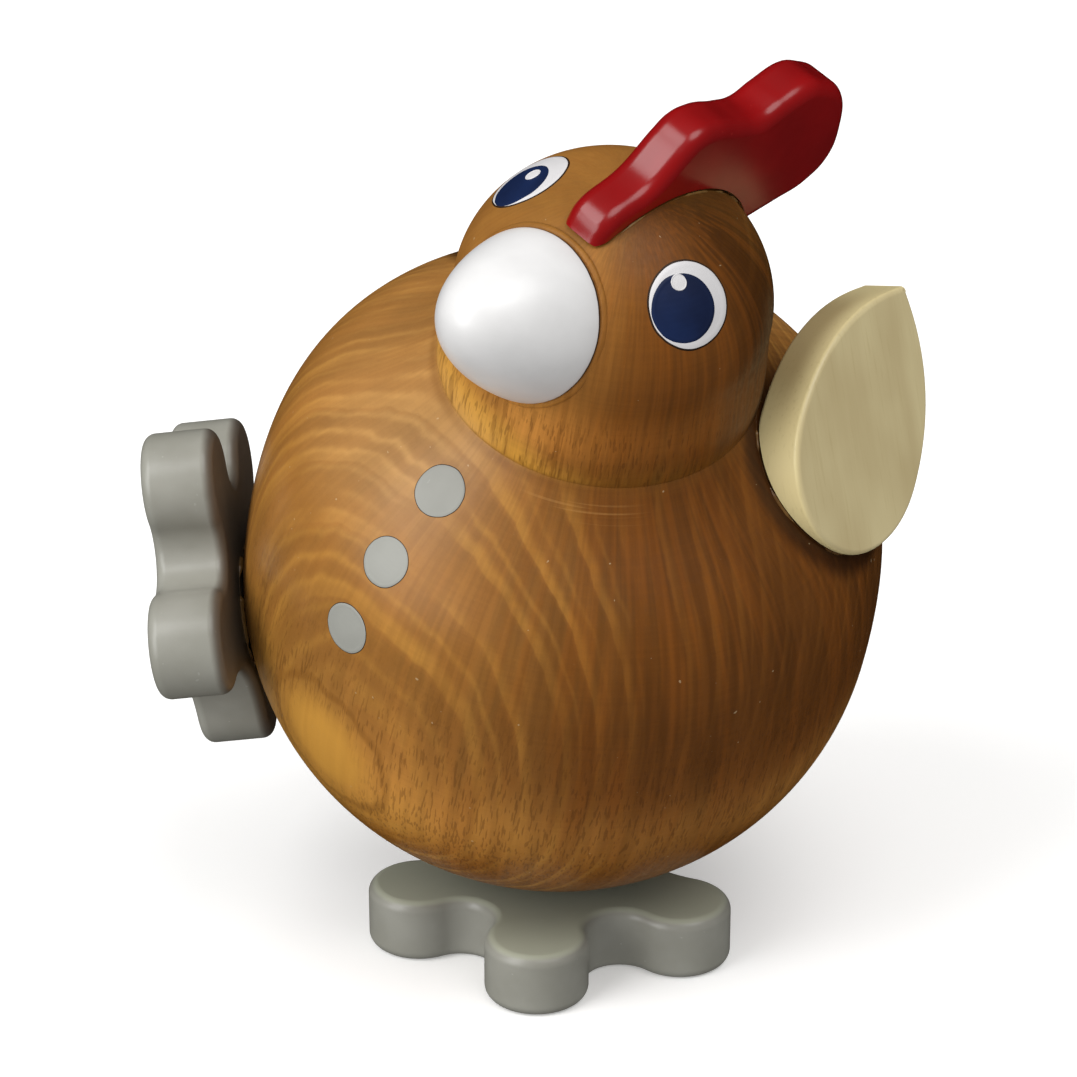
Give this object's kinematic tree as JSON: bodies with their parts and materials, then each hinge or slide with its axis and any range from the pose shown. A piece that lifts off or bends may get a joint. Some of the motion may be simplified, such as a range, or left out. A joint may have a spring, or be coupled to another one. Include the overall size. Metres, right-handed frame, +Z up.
{
  "type": "wooden chicken figure",
  "caption": "Turned wooden chicken with a ball body, domed head, painted beak and comb, leaf-shaped wings and lobed feet, standing on one foot with the other raised.",
  "frame": {"origin": "on the flat sole of the standing foot, under the middle of the ball", "axes": "+Z up; the sole lies in the plane z = 0; the standing foot's front toe points along -Y, and the chicken faces between -X and -Y"},
  "size_m": [0.0772, 0.0684, 0.096],
  "materials": {
    "honey_wood": "stained honey brown, satin lacquer",
    "white_paint": "satin white paint",
    "red_paint": "gloss red paint",
    "pale_wood": "pale wood, satin lacquer",
    "grey_paint": "satin warm grey paint",
    "pin_wood": "plain beech dowel"
  },
  "bodies": {
    "root": {"body_and_head": "honey_wood", "beak": "white_paint", "comb": "red_paint", "left_wing": "pale_wood", "right_wing": "pale_wood", "standing_foot": "grey_paint", "raised_foot": "grey_paint", "beak_dowel": "pin_wood", "comb_pin_front": "pin_wood", "comb_pin_rear": "pin_wood", "left_wing_dowel": "pin_wood", "right_wing_dowel": "pin_wood", "standing_foot_dowel": "pin_wood", "raised_foot_dowel": "pin_wood"}
  },
  "joints": []
}
